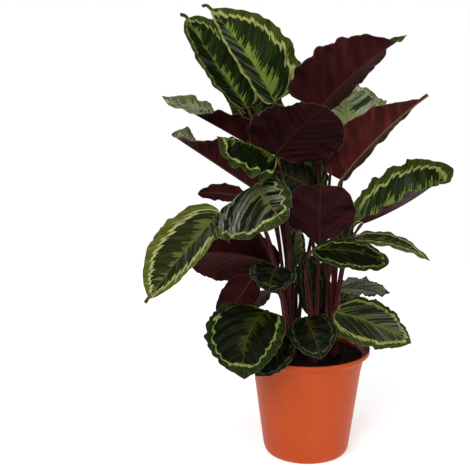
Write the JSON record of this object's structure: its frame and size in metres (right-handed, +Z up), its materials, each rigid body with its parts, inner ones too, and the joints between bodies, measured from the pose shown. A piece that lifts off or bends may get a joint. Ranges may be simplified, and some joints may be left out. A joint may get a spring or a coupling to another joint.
{
  "type": "potted calathea",
  "caption": "Broad-leaved calathea house plant with striped leaves on thin stalks, growing in a plain round plastic nursery pot.",
  "frame": {"origin": "middle of the flat boss under the pot, on the surface that the pot stands on", "axes": "+Z up, the front of the plant faces -Y, its right side faces +X"},
  "size_m": [0.3957, 0.2958, 0.606],
  "materials": {
    "pot": "satin",
    "soil": "matte",
    "stalks": "satin",
    "leaves": "satin"
  },
  "bodies": {
    "root": {"leaf_arching_right": "leaves", "leaf_broad_left": "leaves", "leaf_bud_right": "leaves", "leaf_centre": "leaves", "leaf_crinkled_front": "leaves", "leaf_folded_right": "leaves", "leaf_hanging_left": "leaves", "leaf_inner_left": "leaves", "leaf_inner_low": "leaves", "leaf_inner_right": "leaves", "leaf_inner_small": "leaves", "leaf_long_right": "leaves", "leaf_low_left": "leaves", "leaf_low_right": "leaves", "leaf_middle_left": "leaves", "leaf_pale_right": "leaves", "leaf_pot_front": "leaves", "leaf_pot_left": "leaves", "leaf_pot_right": "leaves", "leaf_rear_centre": "leaves", "leaf_rear_left": "leaves", "leaf_rear_low": "leaves", "leaf_rear_low_left": "leaves", "leaf_rear_low_right": "leaves", "leaf_rear_right": "leaves", "leaf_rear_top_left": "leaves", "leaf_rear_top_right": "leaves", "leaf_rim_left": "leaves", "leaf_side_left": "leaves", "leaf_silvery_front": "leaves", "leaf_small_left": "leaves", "leaf_thin_right": "leaves", "leaf_top_left": "leaves", "leaf_top_left_rear": "leaves", "leaf_top_right": "leaves", "leaf_upper_front": "leaves", "leaf_upper_left": "leaves", "pot": "pot", "potting_soil": "soil", "shoot_front": "stalks", "shoot_left": "stalks", "shoot_rear_left": "stalks", "shoot_rear_right": "stalks", "shoot_right": "stalks"}
  },
  "joints": []
}
